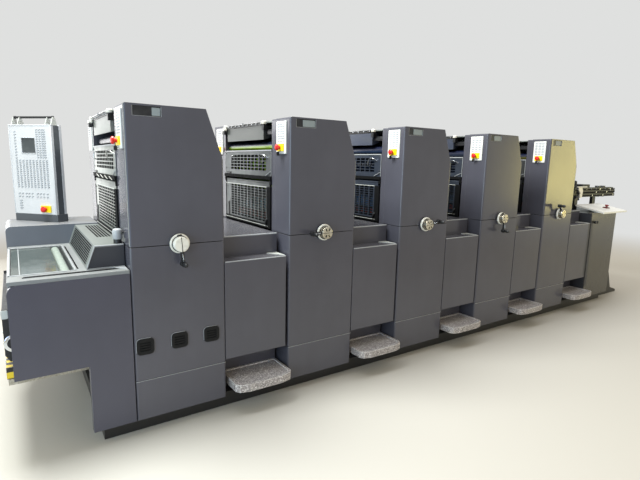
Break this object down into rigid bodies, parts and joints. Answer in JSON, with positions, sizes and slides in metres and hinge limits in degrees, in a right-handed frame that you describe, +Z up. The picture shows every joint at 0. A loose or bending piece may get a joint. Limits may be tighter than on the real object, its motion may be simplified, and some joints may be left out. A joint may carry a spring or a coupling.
{
  "type": "sheet-fed offset printing press",
  "caption": "Row of equal slate-grey printing towers with step plates between them, a low delivery with an upright console at one end and a feeder with a desk at the other.",
  "frame": {"origin": "on the floor, at the middle of the press's box", "axes": "+X along the press from delivery to feeder, -Y the operator side, +Z up"},
  "size_m": [5.856, 1.445, 1.65],
  "materials": {
    "slate_paint": "semi-gloss, fine texture",
    "dark_paint": "satin",
    "grey_paint": "satin",
    "white_paint": "satin",
    "cast_tread": "cast, hammered",
    "steel": "ground",
    "black_plastic": "moulded",
    "white_plastic": "moulded",
    "yellow_plastic": "moulded",
    "red_plastic": "moulded",
    "display_glass": "gloss",
    "roller_rubber": "ground, inked",
    "blanket_rubber": "fine ground",
    "board_wood": "planed"
  },
  "bodies": {
    "press_body": {"base_plinth": "dark_paint", "lower_bodies": "dark_paint", "operator_frames": "slate_paint", "drive_frames": "slate_paint", "toe_covers": "slate_paint", "middle_covers": "slate_paint", "upper_covers": "slate_paint", "drive_side_covers": "slate_paint", "top_guards": "grey_paint", "link_panels": "slate_paint", "link_housings": "slate_paint", "step_plates": "cast_tread", "key_panels": "white_paint", "stop_collars": "yellow_plastic", "stop_buttons": "red_plastic", "display_panes": "display_glass", "vent_grilles": "black_plastic", "ink_ducts": "grey_paint", "upper_guards": "grey_paint", "guard_rails": "black_plastic", "ink_rollers": "roller_rubber", "steel_cylinders": "steel", "blanket_cylinders": "blanket_rubber", "handwheel_spindles": "steel", "delivery_side_panels": "slate_paint", "delivery_top": "grey_paint", "delivery_roller": "white_plastic", "delivery_hood": "grey_paint", "hood_side_plates": "dark_paint", "delivery_cabinet": "slate_paint", "delivery_pile_board": "board_wood", "delivery_end_bars": "black_plastic", "toe_guard": "yellow_plastic", "console_cabinet": "dark_paint", "console_face": "white_paint", "console_bar": "black_plastic", "feeder_side_panels": "slate_paint", "feeder_desk": "white_paint", "feed_board": "grey_paint", "feeder_frames": "dark_paint", "feeder_head": "steel", "feeder_pile_board": "board_wood"},
    "lower_guard_1": {"lower_guard_1": "grey_paint"},
    "lower_guard_2": {"lower_guard_2": "grey_paint"},
    "lower_guard_3": {"lower_guard_3": "grey_paint"},
    "lower_guard_4": {"lower_guard_4": "grey_paint"},
    "lower_guard_5": {"lower_guard_5": "grey_paint"},
    "handwheel_1": {"handwheel_1": "white_plastic"},
    "handwheel_2": {"handwheel_2": "white_plastic"},
    "handwheel_3": {"handwheel_3": "white_plastic"},
    "handwheel_4": {"handwheel_4": "white_plastic"},
    "handwheel_5": {"handwheel_5": "white_plastic"}
  },
  "joints": [
    {"name": "lower_guard_1_hinge", "type": "hinge", "parent": "press_body", "child": "lower_guard_1", "pos_m": [-2.397, -0.0255, 1.27], "axis": [0, 1, 0], "range_deg": [0, 85]},
    {"name": "lower_guard_2_hinge", "type": "hinge", "parent": "press_body", "child": "lower_guard_2", "pos_m": [-1.52, -0.0255, 1.27], "axis": [0, 1, 0], "range_deg": [0, 85]},
    {"name": "lower_guard_3_hinge", "type": "hinge", "parent": "press_body", "child": "lower_guard_3", "pos_m": [-0.643, -0.0255, 1.27], "axis": [0, 1, 0], "range_deg": [0, 85]},
    {"name": "lower_guard_4_hinge", "type": "hinge", "parent": "press_body", "child": "lower_guard_4", "pos_m": [0.234, -0.0255, 1.27], "axis": [0, 1, 0], "range_deg": [0, 85]},
    {"name": "lower_guard_5_hinge", "type": "hinge", "parent": "press_body", "child": "lower_guard_5", "pos_m": [1.111, -0.0255, 1.27], "axis": [0, 1, 0], "range_deg": [0, 85]},
    {"name": "handwheel_1_turn", "type": "hinge", "parent": "press_body", "child": "handwheel_1", "pos_m": [-2.167, -0.6375, 0.983], "axis": [0, 1, 0], "continuous": true},
    {"name": "handwheel_2_turn", "type": "hinge", "parent": "press_body", "child": "handwheel_2", "pos_m": [-1.29, -0.6375, 0.983], "axis": [0, 1, 0], "continuous": true},
    {"name": "handwheel_3_turn", "type": "hinge", "parent": "press_body", "child": "handwheel_3", "pos_m": [-0.413, -0.6375, 0.983], "axis": [0, 1, 0], "continuous": true},
    {"name": "handwheel_4_turn", "type": "hinge", "parent": "press_body", "child": "handwheel_4", "pos_m": [0.464, -0.6375, 0.983], "axis": [0, 1, 0], "continuous": true},
    {"name": "handwheel_5_turn", "type": "hinge", "parent": "press_body", "child": "handwheel_5", "pos_m": [1.341, -0.6375, 0.983], "axis": [0, 1, 0], "continuous": true}
  ]
}
